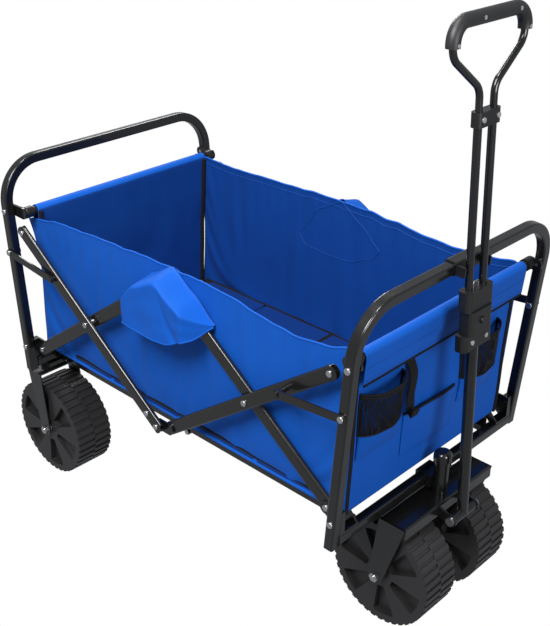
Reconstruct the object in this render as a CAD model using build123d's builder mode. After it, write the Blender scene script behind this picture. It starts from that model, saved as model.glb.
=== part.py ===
from build123d import *
from math import atan2, cos, degrees, hypot, radians, sin, tan
import os

# Folding beach cart, millimetres, +Z up. The origin is on the ground, on the centre plane,
# midway between the axles. +X points to the steered end with the handle.

# ---------------------------------------------------------------- driving dimensions
wheelbase = 770.0
wheel_diameter = 200.0
wheel_width = 80.0
wheel_lugs = 40              # in each of the two staggered rows
lug_height = 2.5
lug_width = 9.0
wheel_hub_r = 27.0
wheel_rim = 12.0
wheel_recess = 12.0

frame_width = 522.0          # over the outer faces of the hoop legs
frame_tube = 18.0            # square tube of hoops and cross tubes
tube_wall = 1.5
tube_corner = 3.0
hoop_lean = 4.1              # degrees, each hoop leans outwards
hoop_rise = 409.0            # cross tube centre to top bar centre, along the lean
hoop_bend = 75.0             # centreline radius of the top corners
leg_foot = 11.0              # leg below the cross tube centre
wheel_headroom = 50.0        # top of the wheels to the middle of the cross tubes
front_foot_ahead = 3.0       # front hoop foot ahead of the front axle
rear_foot_behind = 21.0      # rear hoop foot behind the rear axle

bar_width = 25.0             # scissor bars
bar_thick = 10.0
bar_wall = 1.5
bar_angle = 36.0             # degrees from level, opened out
cross_rise = 163.0           # cross tube to a crossing rivet
cross_inset = 200.0          # hoop foot to a crossing rivet
bar_gap = 4.0                # between neighbouring bar layers
hub_half = 11.0              # mid-plane to a middle hub pin
knuckle_inset = 30.0         # hoop foot to the low bar pivot
joint_inset = 112.0          # hoop foot to the link joint
bar_top_inset = 24.0         # hoop foot to the top of an outer bar
link_width = 14.0
link_drop = 13.0             # link joint below the link pivot

rail_tube = 14.0             # folding floor frame
rail_wall = 1.2
rail_inset = 28.0            # side wall to the middle of a rail
floor_pivot_inset = 19.0     # hoop foot to the floor pivot
floor_pivot_rise = 34.0      # rail to the floor pivot
slat_r = 9.3                 # round cross tubes of the floor frame

cloth = 3.0
hem_rise = 321.0             # cross tube to the hem rods
hem_rod_r = 8.0
front_hem_inset = 14.0       # leg to hem rod
rear_hem_inset = 32.0
panel_rise = 50.0            # cross tube to the low edge of the end walls
panel_inset = 11.0           # end wall inside the hoop foot, at its low edge
side_rise = 28.0             # cross tube to the low edge of the side walls
side_high = 299.0            # side wall at mid-length
mat_thick = 13.0
mat_gap = 2.0                # mat edge to side wall

pin_r = 3.0                  # shank radius of rivets
head_r = 5.5
head_high = 2.4
fit = 0.05                   # radial running clearance
gap = 0.4                    # between faces that slide past each other
plate = 3.0                  # pressed steel

front_track_inner = 36.0     # mid-plane to the inner face of a front wheel
rear_wheel_inset = 20.0      # outer face of a hoop leg to the outer face of a rear wheel
axle_r = 5.0
kingpin_ahead = 30.0         # of the front axle
kingpin_r = 8.0
head_tube_r = 13.0
head_rise = 60.0             # cross tube to the top of the steering head
beam_below = 15.0            # cross tube's underside to the beam
beam_ahead = 23.0            # beam's front edge ahead of the kingpin
wheel_side_gap = 8.0         # wheel to outer fork plate
beam_drop = 22.0

handle_ahead = 49.0          # handle pivot ahead of the kingpin
handle_below = 19.0          # handle pivot below the top of the beam
handle_tilt = 3.0            # degrees, leans back to the hoop
yoke_half = 30.0
lower_tube_r = 9.5
twin_r = 6.3
twin_wall = 1.2
twin_half = 18.5
loop_r = 5.5
collar_at = 319.0            # along the handle from its pivot
collar_long = 26.6
guide_long = 72.0
clamp_at = 668.0
clamp_long = 22.0
grip_at = 820.0
grip_half = 88.0
grip_r = 10.5
grip_bend = 28.0
button_travel = 2.5

# ---------------------------------------------------------------- worked-out places
axle_x = wheelbase / 2
axle_z = wheel_diameter / 2
cross_tube_z = wheel_diameter + wheel_headroom
rail_z = cross_tube_z
floor_pivot_z = rail_z + floor_pivot_rise
cross_z = cross_tube_z + cross_rise
hem_z = cross_tube_z + hem_rise
panel_low_z = cross_tube_z + panel_rise
side_low_z = cross_tube_z + side_rise
side_high_z = side_low_z + side_high
kingpin_x = axle_x + kingpin_ahead
beam_top_z = cross_tube_z - frame_tube / 2 - beam_below
beam_half = front_track_inner + wheel_width + wheel_side_gap
beam_front_x = kingpin_x + beam_ahead
head_top_z = cross_tube_z + head_rise
handle_pivot_x = kingpin_x + handle_ahead
handle_pivot_z = beam_top_z - handle_below
front_foot_x = axle_x + front_foot_ahead
rear_foot_x = -axle_x - rear_foot_behind
mid_x = (front_foot_x + rear_foot_x) / 2
foot_span = (front_foot_x - rear_foot_x) / 2
half_tube = frame_tube / 2
leg_y = frame_width / 2 - half_tube
leg_in = leg_y - half_tube
leg_out = leg_y + half_tube
lean = radians(hoop_lean)
slope = tan(radians(bar_angle))
pivot_span = foot_span - floor_pivot_inset
cross_span = foot_span - cross_inset
front_hem_x = front_foot_x + hem_rise * tan(lean) - front_hem_inset
rear_hem_x = rear_foot_x - hem_rise * tan(lean) + rear_hem_inset
rear_track_inner = leg_out - rear_wheel_inset - wheel_width
rail_low_z = rail_z - rail_tube / 2
rail_high_z = rail_z + rail_tube / 2
hinge_z = rail_low_z - 1.0
mat_low_z = rail_high_z - 0.6 + 2 * slat_r
cross_high_z = cross_tube_z + half_tube

# bar layers, inner and outer face of each, measured from the centre plane
outer_face = leg_out - 3.0
outer_layer = (outer_face - bar_thick, outer_face)
middle_face = outer_face - bar_thick - bar_gap
middle_layer = (middle_face - bar_thick, middle_face)
inner_face = middle_face - bar_thick - bar_gap
inner_layer = (inner_face - bar_thick, inner_face)
bracket_layer = (inner_face + gap, middle_layer[0] - gap)
hub_layer = (middle_face + gap, outer_layer[0] - gap)
link_layer = (leg_out + gap, leg_out + gap + plate)
basket_half = inner_layer[0] - head_high - 0.6 - cloth
mat_half = basket_half - mat_gap
rail_y = basket_half - rail_inset

low_span = foot_span - knuckle_inset
low_z = cross_z - (low_span - cross_span) * slope
hub_low_z = cross_z - (cross_span - hub_half) * slope
hub_high_z = cross_z + (cross_span - hub_half) * slope
joint_span = foot_span - joint_inset
joint_z = cross_z + (joint_span - cross_span) * slope
bar_top_span = foot_span - bar_top_inset
bar_top_z = cross_z + (bar_top_span - cross_span) * slope
link_z = joint_z + link_drop

tilt = radians(handle_tilt)
handle_plane = Plane(
    origin=(handle_pivot_x, 0, handle_pivot_z),
    x_dir=(cos(tilt), 0, sin(tilt)),
    z_dir=(-sin(tilt), 0, cos(tilt)),
)
guide_at = collar_at + collar_long + gap
guide_block = 39.0           # lower, plain part of the guide
sides = (1, -1)

os.makedirs("parts", exist_ok=True)


def leg_x(end, z):
    """Centreline of a hoop leg at height z; end is +1 at the front and -1 at the rear."""
    foot = front_foot_x if end > 0 else rear_foot_x
    return foot + end * (z - cross_tube_z) * tan(lean)


def wall_plane(y):
    """Sketch plane facing -Y at y, with sketch x along X and sketch y along Z."""
    return Plane(origin=(0, y, 0), x_dir=(1, 0, 0), z_dir=(0, -1, 0))


def block(low, high):
    """A block from its lowest corner to its highest."""
    with BuildPart() as piece:
        with Locations(tuple((a + b) / 2 for a, b in zip(low, high))):
            Box(*(b - a for a, b in zip(low, high)))
    return piece.part


def cross_pin(x, z, y_low, y_high, radius, bore=0.0):
    """A round pin or ring along Y."""
    with BuildPart() as piece:
        with BuildSketch(wall_plane(y_high)):
            with Locations((x, z)):
                Circle(radius)
                if bore > 0:
                    Circle(bore, mode=Mode.SUBTRACT)
        extrude(amount=y_high - y_low)
    return piece.part


def side_pin(side, x, z, near, far, radius, bore=0.0):
    """A pin along Y between two distances from the centre plane, on one side."""
    low, high = sorted((side * near, side * far))
    return cross_pin(x, z, low, high, radius, bore)


def side_block(side, x_low, x_high, near, far, z_low, z_high):
    """A block between two distances from the centre plane, on one side."""
    low, high = sorted((side * near, side * far))
    return block((x_low, low, z_low), (x_high, high, z_high))


def side_plate(side, points, near, far, discs=(), holes=()):
    """A flat plate in the XZ plane: a polygon joined to discs, less its holes."""
    low, high = sorted((side * near, side * far))
    with BuildPart() as piece:
        with BuildSketch(wall_plane(high)):
            Polygon(*points, align=None)
            for x, z, radius in discs:
                with Locations((x, z)):
                    Circle(radius)
            for x, z, radius in holes:
                with Locations((x, z)):
                    Circle(radius, mode=Mode.SUBTRACT)
        extrude(amount=high - low)
    return piece.part


def rivet(side, x, z, near, far, radius=pin_r, head=head_r, inner_head=True, outer_head=True):
    """A shank between two distances from the centre plane with a low round head at each end."""
    with BuildPart() as piece:
        add(side_pin(side, x, z, near, far, radius))
        if outer_head:
            add(side_pin(side, x, z, far, far + head_high, head))
            fillet(piece.edges().group_by(Axis.Y)[-1 if side > 0 else 0], 1.1)
        if inner_head:
            add(side_pin(side, x, z, near - head_high, near, head))
            fillet(piece.edges().group_by(Axis.Y)[0 if side > 0 else -1], 1.1)
    return piece.part


def flat_bar(side, start, end, layer, holes):
    """A flattened tube with round ends, lying in one bar layer between two pin centres."""
    dx, dz = end[0] - start[0], end[1] - start[1]
    length = hypot(dx, dz)
    near, far = layer
    middle = side * (near + far) / 2
    high = max(side * near, side * far)
    along = (dx / length, 0, dz / length)
    back = bar_width / 2
    foot = (start[0] - along[0] * back, middle, start[1] - along[2] * back)
    with BuildPart() as piece:
        with BuildSketch(Plane(origin=foot, x_dir=(0, 1, 0), z_dir=along)):
            RectangleRounded(bar_thick, bar_width, 4.5)
            RectangleRounded(bar_thick - 2 * bar_wall, bar_width - 2 * bar_wall, 3.0, mode=Mode.SUBTRACT)
        extrude(amount=length + bar_width)
        with BuildSketch(wall_plane(high)):
            with Locations(((start[0] + end[0]) / 2, (start[1] + end[1]) / 2)):
                SlotCenterToCenter(length, bar_width, rotation=degrees(atan2(dz, dx)))
        extrude(amount=bar_thick, mode=Mode.INTERSECT)
        with BuildSketch(wall_plane(high)):
            for x, z, radius in holes:
                with Locations((x, z)):
                    Circle(radius)
        extrude(amount=bar_thick, mode=Mode.SUBTRACT)
    return piece.part


def save(piece, label):
    """Names a finished piece and writes its STEP file."""
    piece.label = label
    export_step(piece, "parts/" + label + ".step")


# ---------------------------------------------------------------- hoops and cross tubes
def hoop(end):
    foot = front_foot_x if end > 0 else rear_foot_x
    hem = (leg_x(end, hem_z), hem_z)
    link = (leg_x(end, link_z), link_z)
    low = (leg_x(end, low_z), low_z)
    face = Plane(origin=(foot, 0, cross_tube_z), x_dir=(0, 1, 0), z_dir=(cos(lean), 0, -end * sin(lean)))
    start = -leg_foot - 3.0
    corners = [(-leg_y, start), (-leg_y, hoop_rise), (leg_y, hoop_rise), (leg_y, start)]
    bore = frame_tube - 2 * tube_wall
    with BuildPart() as piece:
        with BuildLine(face) as path:
            FilletPolyline(*corners, radius=hoop_bend)
        with BuildSketch(Plane(origin=path.line @ 0, x_dir=(0, 1, 0), z_dir=path.line % 0)):
            RectangleRounded(frame_tube, frame_tube, tube_corner)
            RectangleRounded(bore, bore, tube_corner - tube_wall, mode=Mode.SUBTRACT)
        sweep()
        with Locations((foot, 0, cross_tube_z - leg_foot - 20.0)):
            Box(80, frame_width + 20, 40, mode=Mode.SUBTRACT)
        for x, z in (hem, link, low):
            add(cross_pin(x, z, -frame_width, frame_width, pin_r), mode=Mode.SUBTRACT)
    return piece.part


def cross_tube(end):
    foot = front_foot_x if end > 0 else rear_foot_x
    bore = frame_tube - 2 * tube_wall
    with BuildPart() as piece:
        with BuildSketch(Plane(origin=(foot, -leg_in, cross_tube_z), x_dir=(1, 0, 0), z_dir=(0, 1, 0))):
            RectangleRounded(frame_tube, frame_tube, tube_corner)
            RectangleRounded(bore, bore, tube_corner - tube_wall, mode=Mode.SUBTRACT)
        extrude(amount=2 * leg_in)
    return piece.part


# Each corner bracket sits on the cross tube against the leg. A lug carries the floor pivot and
# a plate carries the low pivot of the inner bar.
lug_far = rail_y + rail_tube / 2 + 4.0 + gap
lug_layer = (lug_far, lug_far + 4.0)
floor_pin_r = 4.0


def floor_pivot_x(end):
    return mid_x + end * pivot_span


def corner_bracket(side, end):
    foot = front_foot_x if end > 0 else rear_foot_x
    low_x = mid_x + end * low_span
    pivot_x = floor_pivot_x(end)
    x_in, x_out = sorted((foot - end * half_tube, foot + end * (half_tube - 1.0)))
    lug = [
        (pivot_x, floor_pivot_z + 7.0),
        (foot + end * (half_tube - 1.0), cross_high_z + 3.0),
        (foot + end * (half_tube - 1.0), cross_high_z),
        (foot - end * half_tube, cross_high_z),
        (pivot_x - end * 6.0, floor_pivot_z - 4.0),
    ]
    arm = [
        (low_x, low_z + 12.0),
        (foot + end * 8.0, low_z + 12.0),
        (foot + end * 8.0, cross_high_z),
        (foot - end * half_tube, cross_high_z),
        (low_x, low_z - 12.0),
    ]
    with BuildPart() as piece:
        add(side_block(side, x_in, x_out, lug_layer[0], leg_in, cross_high_z, cross_high_z + 3.0))
        lug_hole = (pivot_x, floor_pivot_z, floor_pin_r)
        add(side_plate(side, lug, *lug_layer, [(pivot_x, floor_pivot_z, 8.0)], [lug_hole]))
        arm_hole = (low_x, low_z, pin_r)
        add(side_plate(side, arm, *bracket_layer, [(low_x, low_z, 12.0)], [arm_hole]))
        b_in, b_out = sorted((foot - end * 5.0, foot + end * 8.0))
        add(side_block(side, b_in, b_out, bracket_layer[1], leg_in, cross_high_z, low_z + 12.0))
        add(side_pin(side, leg_x(end, low_z), low_z, bracket_layer[0], leg_in, pin_r), mode=Mode.SUBTRACT)
    return piece.part


hem_plate = 5.0
cap_near = leg_in - hem_plate - 16.0


def hem_rod(end):
    x = front_hem_x if end > 0 else rear_hem_x
    with BuildPart() as piece:
        add(cross_pin(x, hem_z, -cap_near, cap_near, hem_rod_r, hem_rod_r - 1.2))
        for side in sides:
            add(side_pin(side, x, hem_z, cap_near, leg_in - hem_plate, hem_rod_r + 3.0))
        fillet(piece.edges().group_by(Axis.Y)[-1], 2.0)
        fillet(piece.edges().group_by(Axis.Y)[0], 2.0)
    return piece.part


def hem_bracket(side, end):
    x = front_hem_x if end > 0 else rear_hem_x
    leg = leg_x(end, hem_z)
    arm = [(x, hem_z + 11.0), (leg, hem_z + 10.0), (leg, hem_z - 10.0), (x, hem_z - 11.0)]
    discs = [(x, hem_z, 11.0), (leg, hem_z, 10.0)]
    return side_plate(side, arm, leg_in - hem_plate, leg_in, discs, [(leg, hem_z, pin_r)])


def frame_rivets(end):
    """Fixed fasteners of one hoop: bar pivot, floor pivot, link pivot, leg rivet and hem bolt."""
    low_x = mid_x + end * low_span
    bar = inner_layer if end > 0 else middle_layer
    with BuildPart() as piece:
        for side in sides:
            if end > 0:
                add(rivet(side, low_x, low_z, bar[0] - gap, bracket_layer[1]))
            else:
                add(rivet(side, low_x, low_z, bracket_layer[0], bar[1] + gap))
            inside = rail_y + rail_tube / 2 - 0.6 - gap
            add(rivet(side, floor_pivot_x(end), floor_pivot_z, inside, lug_layer[1], floor_pin_r, 6.5))
            add(rivet(side, leg_x(end, link_z), link_z, leg_in, link_layer[1] + gap))
            add(rivet(side, leg_x(end, low_z), low_z, bracket_layer[1] + 2.0, leg_out, inner_head=False))
            add(rivet(side, leg_x(end, hem_z), hem_z, leg_in - hem_plate, leg_out, inner_head=False))
    return piece.part


for end, where in ((1, "front"), (-1, "rear")):
    save(hoop(end), where + "_hoop")
    save(cross_tube(end), where + "_cross_tube")
    with BuildPart() as brackets:
        for side in sides:
            add(corner_bracket(side, end))
    save(brackets.part, where + "_corner_brackets")
    save(hem_rod(end), where + "_hem_rod")
    with BuildPart() as hem_brackets:
        for side in sides:
            add(hem_bracket(side, end))
    save(hem_brackets.part, where + "_hem_brackets")
    save(frame_rivets(end), where + "_rivets")


# ---------------------------------------------------------------- scissor bars
def bar_points(end):
    """Pins of one end's two bars: low pivot, crossing, high hub, low hub, link joint, top."""
    return {
        "low": (mid_x + end * low_span, low_z),
        "cross": (mid_x + end * cross_span, cross_z),
        "hub_high": (mid_x + end * hub_half, hub_high_z),
        "hub_low": (mid_x + end * hub_half, hub_low_z),
        "joint": (mid_x + end * joint_span, joint_z),
        "top": (mid_x + end * bar_top_span, bar_top_z),
    }


bar_sine = sin(radians(bar_angle))
bar_cosine = cos(radians(bar_angle))


def second_rivet(end):
    """The spare rivet 30 mm up an outer bar from its low end."""
    x, z = bar_points(end)["hub_low"]
    return x + end * 30.0 * bar_cosine, z + 30.0 * bar_sine


for end, where in ((1, "front"), (-1, "rear")):
    at = bar_points(end)
    inner = inner_layer if end > 0 else middle_layer
    outer = middle_layer if end > 0 else outer_layer
    hub_pin = pin_r + fit
    with BuildPart() as inner_bars:
        for side in sides:
            high_r = hub_pin if end > 0 else pin_r
            holes = [(*at["low"], pin_r + fit), (*at["cross"], pin_r), (*at["hub_high"], high_r)]
            add(flat_bar(side, at["low"], at["hub_high"], inner, holes))
    save(inner_bars.part, where + "_inner_bars")
    with BuildPart() as outer_bars:
        for side in sides:
            low_r = hub_pin if end > 0 else pin_r
            holes = [(*at["hub_low"], low_r), (*at["cross"], pin_r + fit), (*at["top"], pin_r)]
            if end < 0:
                holes.append((*second_rivet(end), pin_r))
            add(flat_bar(side, at["hub_low"], at["top"], outer, holes))
    save(outer_bars.part, where + "_outer_bars")
    with BuildPart() as inner_rivets:
        for side in sides:
            add(rivet(side, *at["cross"], inner[0], outer[1] + gap))
            add(side_pin(side, *at["cross"], inner[1], outer[0] - gap, 8.0))
            if end < 0:
                add(rivet(side, *at["hub_high"], inner[0], inner[1], inner_head=False))
    save(inner_rivets.part, where + "_inner_rivets")
    with BuildPart() as outer_rivets:
        for side in sides:
            add(rivet(side, *at["top"], outer[0], outer[1], inner_head=False))
            if end < 0:
                add(rivet(side, *at["hub_low"], outer[0], outer[1], inner_head=False))
                add(rivet(side, *second_rivet(end), outer[0], outer[1], inner_head=False))
    save(outer_rivets.part, where + "_outer_rivets")
    with BuildPart() as links:
        for side in sides:
            leg = (leg_x(end, link_z), link_z)
            dx, dz = at["joint"][0] - leg[0], at["joint"][1] - leg[1]
            top = max(side * link_layer[0], side * link_layer[1])
            with BuildSketch(wall_plane(top)):
                with Locations(((at["joint"][0] + leg[0]) / 2, (at["joint"][1] + leg[1]) / 2)):
                    SlotCenterToCenter(hypot(dx, dz), link_width, rotation=degrees(atan2(dz, dx)))
                with Locations(leg):
                    Circle(pin_r + fit, mode=Mode.SUBTRACT)
            extrude(amount=plate)
            add(side_pin(side, *at["joint"], outer[1] + gap, link_layer[0], 5.0))
            add(side_pin(side, *at["joint"], link_layer[1], link_layer[1] + head_high, head_r))
    save(links.part, where + "_links")


def hub_bracket(side, layer, z, bar, outward):
    """A short strap across the mid-plane with the pin that carries the front bar."""
    front_x = mid_x + hub_half
    top = max(side * layer[0], side * layer[1])
    with BuildPart() as piece:
        with BuildSketch(wall_plane(top)):
            with Locations((mid_x, z)):
                SlotCenterToCenter(2 * hub_half, bar_width - 2.0)
        extrude(amount=layer[1] - layer[0])
        if outward:
            add(side_pin(side, front_x, z, layer[1], bar[1] + gap, pin_r))
            add(side_pin(side, front_x, z, bar[1] + gap, bar[1] + gap + head_high, head_r))
        else:
            add(side_pin(side, front_x, z, bar[0] - gap, layer[0], pin_r))
            add(side_pin(side, front_x, z, bar[0] - gap - head_high, bar[0] - gap, head_r))
    return piece.part


with BuildPart() as upper_hubs:
    for side in sides:
        add(hub_bracket(side, bracket_layer, hub_high_z, inner_layer, False))
save(upper_hubs.part, "upper_hub_brackets")

with BuildPart() as lower_hubs:
    for side in sides:
        add(hub_bracket(side, hub_layer, hub_low_z, middle_layer, False))
save(lower_hubs.part, "lower_hub_brackets")


# ---------------------------------------------------------------- folding floor
knuckle_r = 6.0
rail_stop = knuckle_r + 1.0  # rail end back from the hinge pin
knuckle_half = 4.0


def floor_half(end):
    """Two square rails with end lugs, hinge knuckles and three round cross tubes, welded."""
    rail_start = mid_x + end * rail_stop
    pivot_x = floor_pivot_x(end)
    rail_end = pivot_x + end * rail_tube / 2
    x_low, x_high = sorted((rail_start, rail_end))
    across = Plane(origin=(x_low, 0, rail_z), x_dir=(0, 1, 0), z_dir=(1, 0, 0))
    rail_bore = rail_tube - 2 * rail_wall
    with BuildPart() as piece:
        with BuildSketch(across):
            with Locations((rail_y, 0), (-rail_y, 0)):
                RectangleRounded(rail_tube, rail_tube, 2.0)
                RectangleRounded(rail_bore, rail_bore, 1.0, mode=Mode.SUBTRACT)
        extrude(amount=x_high - x_low)
        for slat in (mid_x + end * 46.0, mid_x + end * 103.0, pivot_x - end * 42.0):
            with BuildSketch(Plane(origin=(slat, -rail_y - 4.0, mat_low_z - slat_r), z_dir=(0, 1, 0))):
                Circle(slat_r)
                Circle(slat_r - 1.5, mode=Mode.SUBTRACT)
            extrude(amount=2 * rail_y + 8.0)
        for side in sides:
            near = rail_y + rail_tube / 2 - 0.6
            lug = [
                (pivot_x - end * 8.0, floor_pivot_z),
                (pivot_x + end * 7.0, floor_pivot_z),
                (pivot_x + end * 7.0, rail_low_z + 1.0),
                (pivot_x - end * 12.0, rail_low_z + 1.0),
            ]
            disc = (pivot_x, floor_pivot_z, 7.5)
            hole = (pivot_x, floor_pivot_z, floor_pin_r + fit)
            add(side_plate(side, lug, near, lug_layer[0] - gap, [disc], [hole]))
            if end > 0:
                spans = [(rail_y - knuckle_half, rail_y + knuckle_half)]
                bore = pin_r
            else:
                spans = [
                    (rail_y - knuckle_half - gap - 3.6, rail_y - knuckle_half - gap),
                    (rail_y + knuckle_half + gap, rail_y + knuckle_half + gap + 3.6),
                ]
                bore = pin_r + fit
            for near, far in spans:
                web_in, web_out = sorted((mid_x, mid_x + end * (rail_stop + 7.0)))
                add(side_block(side, web_in, web_out, near, far, hinge_z - 0.4, rail_low_z + 3.0))
                add(side_pin(side, mid_x, hinge_z, near, far, knuckle_r))
                add(side_pin(side, mid_x, hinge_z, near, far, bore), mode=Mode.SUBTRACT)
    return piece.part


def floor_mat(end):
    """Stiffened floor panel, stepped in at its outer corners round the floor pivots."""
    start = mid_x + end * 1.0
    step = floor_pivot_x(end) - end * 20.0
    stop = floor_pivot_x(end) + end * 1.0
    inset = rail_y - 3.0
    with BuildPart() as piece:
        with BuildSketch(Plane.XY.offset(mat_low_z)):
            Polygon(
                (start, -mat_half),
                (step, -mat_half),
                (step, -inset),
                (stop, -inset),
                (stop, inset),
                (step, inset),
                (step, mat_half),
                (start, mat_half),
                align=None,
            )
        extrude(amount=mat_thick)
    return piece.part


for end, where in ((1, "front"), (-1, "rear")):
    save(floor_half(end), "floor_frame_" + where)
    save(floor_mat(end), "floor_mat_" + where)

with BuildPart() as hinge_pins:
    pin_reach = knuckle_half + gap + 3.6 + gap
    for side in sides:
        add(side_pin(side, mid_x, hinge_z, rail_y - pin_reach, rail_y + pin_reach, pin_r))
        add(side_pin(side, mid_x, hinge_z, rail_y + pin_reach, rail_y + pin_reach + 1.8, 5.0))
        add(side_pin(side, mid_x, hinge_z, rail_y - pin_reach - 1.8, rail_y - pin_reach, 5.0))
save(hinge_pins.part, "floor_hinge_pins")


# ---------------------------------------------------------------- basket cloth
def end_panel(end):
    """End wall hung from its hem rod."""
    foot = front_foot_x if end > 0 else rear_foot_x
    low_x = foot - end * panel_inset
    rod_x = front_hem_x if end > 0 else rear_hem_x
    half = cloth / 2
    with BuildPart() as piece:
        with BuildSketch(wall_plane(basket_half)):
            Polygon(
                (low_x - half, panel_low_z),
                (low_x + half, panel_low_z),
                (rod_x + half, hem_z),
                (rod_x - half, hem_z),
                align=None,
            )
            with Locations((rod_x, hem_z)):
                Circle(hem_rod_r + 2.3)
                Circle(hem_rod_r, mode=Mode.SUBTRACT)
        extrude(amount=2 * basket_half)
    return piece.part


def panel_x(z):
    """Middle of the front end wall at height z."""
    low_x = front_foot_x - panel_inset
    return low_x + (front_hem_x - low_x) * (z - panel_low_z) / (hem_z - panel_low_z)


def pocket(y_low, y_high, z_low, z_high, depth):
    """An open-topped pocket standing off the front end wall."""
    back = panel_x(z_low) + cloth / 2
    back_high = panel_x(z_high) + cloth / 2
    wall = 2.0
    outline = [(back, z_low), (back + depth, z_low), (back_high + depth, z_high), (back_high, z_high)]
    with BuildPart() as piece:
        with BuildSketch(wall_plane(y_high)):
            Polygon(*outline, align=None)
        extrude(amount=y_high - y_low)
        with BuildSketch(wall_plane(y_high - wall)):
            Polygon(
                (back - 1.0, z_low + wall),
                (back + depth - wall, z_low + wall),
                (back_high + depth - wall, z_high + 1.0),
                (back_high - 1.0, z_high + 1.0),
                align=None,
            )
        extrude(amount=y_high - y_low - 2 * wall, mode=Mode.SUBTRACT)
    return piece.part


save(end_panel(1), "front_panel")
save(end_panel(-1), "rear_panel")

with BuildPart() as pockets:
    add(pocket(10.0 - basket_half, 124.0 - basket_half, panel_low_z + 100.0, panel_low_z + 200.0, 26.0))
    add(pocket(basket_half - 154.0, basket_half - 40.0, panel_low_z + 90.0, panel_low_z + 190.0, 26.0))
    add(pocket(128.0 - basket_half, basket_half - 158.0, panel_low_z + 18.0, panel_low_z + 108.0, 14.0))
save(pockets.part, "front_pockets")

for side, where in ((1, "left"), (-1, "right")):
    outline = [
        (rear_foot_x + panel_inset, side_low_z),
        (front_foot_x - panel_inset + 4.0, side_low_z),
        (front_hem_x - hem_rod_r - 1.0, hem_z + 4.0),
        (mid_x, side_high_z),
        (rear_hem_x + hem_rod_r + 3.0, hem_z - 18.0),
    ]
    save(side_plate(side, outline, basket_half, basket_half + cloth), "side_panel_" + where)

flap_out = link_layer[0] - 1.4
with BuildPart() as flaps:
    for side in sides:
        skirt = [
            (mid_x - 102.0, side_high_z - 93.0),
            (mid_x - 82.0, side_high_z - 117.0),
            (mid_x + 48.0, side_high_z - 117.0),
            (mid_x + 136.0, side_high_z - 68.0),
            (mid_x + 52.0, side_high_z - 1.0),
            (mid_x - 52.0, side_high_z - 1.0),
        ]
        add(side_plate(side, skirt, flap_out, flap_out + 2.4))
        x_low, x_high = mid_x - 52.0, mid_x + 52.0
        top = (side_high_z - 4.0, side_high_z - 1.0)
        add(side_block(side, x_low, x_high, basket_half + cloth, flap_out, *top))
save(flaps.part, "side_flaps")

# ---------------------------------------------------------------- steering head and front axle
beam_back_x = kingpin_x - kingpin_ahead
with BuildPart() as steering_head:
    saddle = half_tube + 3.0
    low = (front_foot_x - saddle, -20.0, cross_tube_z - saddle)
    add(block(low, (kingpin_x - kingpin_r, 20.0, cross_tube_z + saddle)))
    with Locations((front_foot_x, 0, cross_tube_z)):
        Box(frame_tube, 60, frame_tube, mode=Mode.SUBTRACT)
    with BuildSketch(Plane(origin=(kingpin_x, 0, beam_top_z + gap))):
        Circle(head_tube_r)
    extrude(amount=head_top_z - 18.0 - beam_top_z - gap)
    with BuildSketch(Plane(origin=(kingpin_x, 0, head_top_z - 18.0))):
        Circle(head_tube_r + 3.0)
    extrude(amount=18.0)
    fillet(steering_head.edges().group_by(Axis.Z)[-1], 10.0)
    with BuildSketch(Plane(origin=(kingpin_x, 0, beam_top_z + gap))):
        Circle(kingpin_r + fit)
    extrude(amount=head_top_z - 12.0 - beam_top_z - gap, mode=Mode.SUBTRACT)
save(steering_head.part, "steering_head")

with BuildPart() as kingpin:
    with BuildSketch(Plane(origin=(kingpin_x, 0, beam_top_z - plate))):
        Circle(kingpin_r)
    extrude(amount=head_top_z - 14.0 - beam_top_z + plate)
    with BuildSketch(Plane(origin=(kingpin_x, 0, beam_top_z - plate - 10.0))):
        RegularPolygon(13.0, 6)
    extrude(amount=10.0)
save(kingpin.part, "kingpin")

beam_low_z = beam_top_z - beam_drop
with BuildPart() as axle_beam:
    add(block((beam_back_x, -beam_half, beam_low_z), (beam_front_x, beam_half, beam_top_z)))
    fillet(axle_beam.edges().filter_by(Axis.Y).group_by(Axis.Z)[-1], 4.0)
    inner_low = (beam_back_x + plate, -beam_half, beam_low_z)
    add(block(inner_low, (beam_front_x - plate, beam_half, beam_top_z - plate)), mode=Mode.SUBTRACT)
    with BuildSketch(Plane(origin=(kingpin_x, 0, beam_top_z - plate - 1.0))):
        Circle(kingpin_r)
    extrude(amount=plate + 2.0, mode=Mode.SUBTRACT)
save(axle_beam.part, "axle_beam")

front_far = front_track_inner + wheel_width
fork_in = (front_track_inner - 8.0, front_track_inner - 5.0)
fork_out = (beam_half, beam_half + 3.5)
with BuildPart() as fork_plates:
    for side in sides:
        inner_top = beam_top_z - plate
        edge = [
            (beam_back_x + plate, inner_top),
            (beam_front_x - plate, inner_top),
            (beam_front_x - plate, beam_low_z),
            (axle_x + 13.0, axle_z),
            (axle_x - 13.0, axle_z),
            (beam_back_x + plate, beam_low_z),
        ]
        axle = [(axle_x, axle_z, 13.0)]
        hole = [(axle_x, axle_z, axle_r)]
        add(side_plate(side, edge, *fork_in, axle, hole))
        edge = [
            (beam_back_x, beam_top_z - 2.0),
            (beam_front_x, beam_top_z - 2.0),
            (axle_x + 15.0, axle_z),
            (axle_x - 15.0, axle_z),
        ]
        add(side_plate(side, edge, *fork_out, [(axle_x, axle_z, 15.0)], hole))
save(fork_plates.part, "front_fork_plates")


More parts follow.
